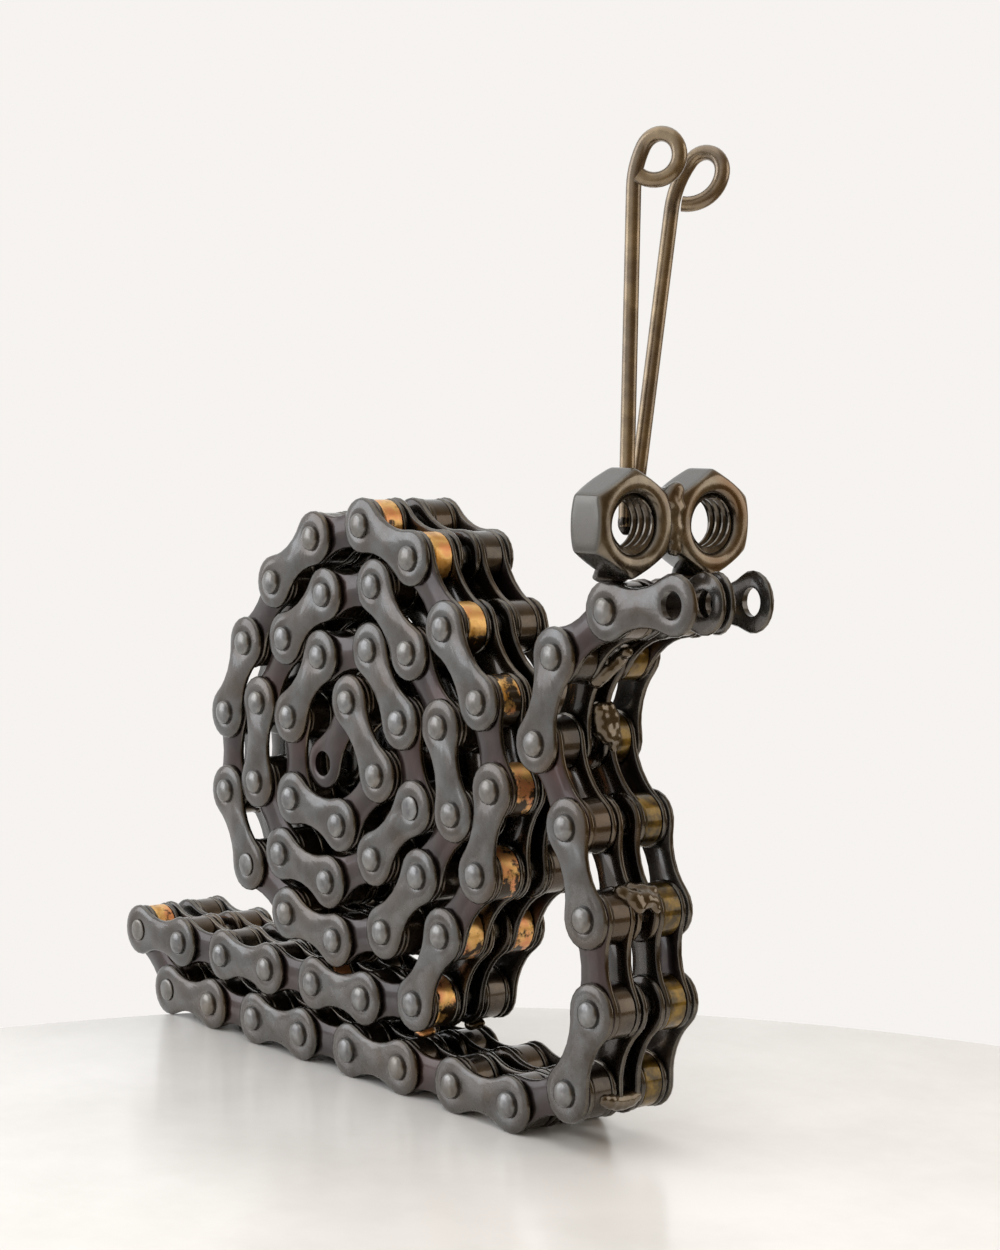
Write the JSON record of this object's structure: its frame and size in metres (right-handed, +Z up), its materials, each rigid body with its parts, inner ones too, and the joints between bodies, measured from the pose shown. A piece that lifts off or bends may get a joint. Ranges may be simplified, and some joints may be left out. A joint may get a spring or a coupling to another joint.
{
  "type": "snail figurine",
  "caption": "Welded snail figurine: side-by-side roller chains make its neck, foot and coiled shell, hex nuts its eyes and looped wires its antennae; unwelded rollers still turn.",
  "frame": {"origin": "middle of the footprint, on the surface that the foot stands on", "axes": "+X the way the snail looks, +Y to the snail's left, +Z up"},
  "size_m": [0.1367, 0.0274, 0.1389],
  "materials": {
    "outer_plates": "dark blued steel under clear coat",
    "inner_plates": "brown-tinged steel under clear coat",
    "rollers": "heat-browned steel",
    "free_rollers": "oiled dark steel",
    "rivet_heads": "worn bright steel",
    "nuts": "heat-browned steel with bright edges",
    "wire": "olive brown drawn wire",
    "welds": "weld bead",
    "braze": "copper-gold braze"
  },
  "bodies": {
    "snail": {"right_neck_outer_plates": "outer_plates", "right_neck_inner_plates": "inner_plates", "right_foot_outer_plates": "outer_plates", "right_foot_inner_plates": "inner_plates", "right_back_outer_plates": "outer_plates", "right_back_inner_plates": "inner_plates", "right_shell_outer_turn_outer_plates": "outer_plates", "right_shell_outer_turn_inner_plates": "inner_plates", "right_shell_middle_turn_outer_plates": "outer_plates", "right_shell_middle_turn_inner_plates": "inner_plates", "right_shell_inner_turn_outer_plates": "outer_plates", "right_shell_inner_turn_inner_plates": "inner_plates", "right_neck_fixed_rollers": "rollers", "right_neck_rivet_heads": "rivet_heads", "right_foot_fixed_rollers": "rollers", "right_foot_rivet_heads": "rivet_heads", "right_shell_fixed_rollers": "rollers", "right_shell_rivet_heads": "rivet_heads", "right_bushes": "free_rollers", "right_coil_seat_braze": "braze", "right_eye_nut": "nuts", "right_eye_fillet_welds": "welds", "right_antenna": "wire", "left_neck_outer_plates": "outer_plates", "left_neck_inner_plates": "inner_plates", "left_foot_outer_plates": "outer_plates", "left_foot_inner_plates": "inner_plates", "left_back_outer_plates": "outer_plates", "left_back_inner_plates": "inner_plates", "left_shell_outer_turn_outer_plates": "outer_plates", "left_shell_outer_turn_inner_plates": "inner_plates", "left_shell_middle_turn_outer_plates": "outer_plates", "left_shell_middle_turn_inner_plates": "inner_plates", "left_shell_inner_turn_outer_plates": "outer_plates", "left_shell_inner_turn_inner_plates": "inner_plates", "left_neck_fixed_rollers": "rollers", "left_neck_rivet_heads": "rivet_heads", "left_foot_fixed_rollers": "rollers", "left_foot_rivet_heads": "rivet_heads", "left_shell_fixed_rollers": "rollers", "left_shell_rivet_heads": "rivet_heads", "left_bushes": "free_rollers", "left_coil_seat_braze": "braze", "left_eye_nut": "nuts", "left_eye_fillet_welds": "welds", "left_antenna": "wire", "bridge_welds": "welds", "eye_weld": "welds", "antenna_weld": "welds"},
    "right_neck_upper_roller_body": {"right_neck_upper_roller": "free_rollers"},
    "right_neck_lower_roller_body": {"right_neck_lower_roller": "free_rollers"},
    "right_foot_front_roller_body": {"right_foot_front_roller": "free_rollers"},
    "right_foot_second_roller_body": {"right_foot_second_roller": "free_rollers"},
    "left_neck_upper_roller_body": {"left_neck_upper_roller": "free_rollers"},
    "left_neck_lower_roller_body": {"left_neck_lower_roller": "free_rollers"},
    "left_foot_front_roller_body": {"left_foot_front_roller": "free_rollers"},
    "left_foot_second_roller_body": {"left_foot_second_roller": "free_rollers"}
  },
  "joints": [
    {"name": "right_neck_upper_roller_spin", "type": "hinge", "parent": "snail", "child": "right_neck_upper_roller_body", "pos_m": [0.04463, -0.00475, 0.04468], "axis": [0, 1, 0], "continuous": true},
    {"name": "right_neck_lower_roller_spin", "type": "hinge", "parent": "snail", "child": "right_neck_lower_roller_body", "pos_m": [0.05031, -0.00475, 0.02007], "axis": [0, 1, 0], "continuous": true},
    {"name": "right_foot_front_roller_spin", "type": "hinge", "parent": "snail", "child": "right_foot_front_roller_body", "pos_m": [0.03375, -0.00475, 0.00408], "axis": [0, 1, 0], "continuous": true},
    {"name": "right_foot_second_roller_spin", "type": "hinge", "parent": "snail", "child": "right_foot_second_roller_body", "pos_m": [0.02105, -0.00475, 0.00408], "axis": [0, 1, 0], "continuous": true},
    {"name": "left_neck_upper_roller_spin", "type": "hinge", "parent": "snail", "child": "left_neck_upper_roller_body", "pos_m": [0.04463, 0.00475, 0.04468], "axis": [0, 1, 0], "continuous": true},
    {"name": "left_neck_lower_roller_spin", "type": "hinge", "parent": "snail", "child": "left_neck_lower_roller_body", "pos_m": [0.05031, 0.00475, 0.02007], "axis": [0, 1, 0], "continuous": true},
    {"name": "left_foot_front_roller_spin", "type": "hinge", "parent": "snail", "child": "left_foot_front_roller_body", "pos_m": [0.03375, 0.00475, 0.00408], "axis": [0, 1, 0], "continuous": true},
    {"name": "left_foot_second_roller_spin", "type": "hinge", "parent": "snail", "child": "left_foot_second_roller_body", "pos_m": [0.02105, 0.00475, 0.00408], "axis": [0, 1, 0], "continuous": true}
  ]
}
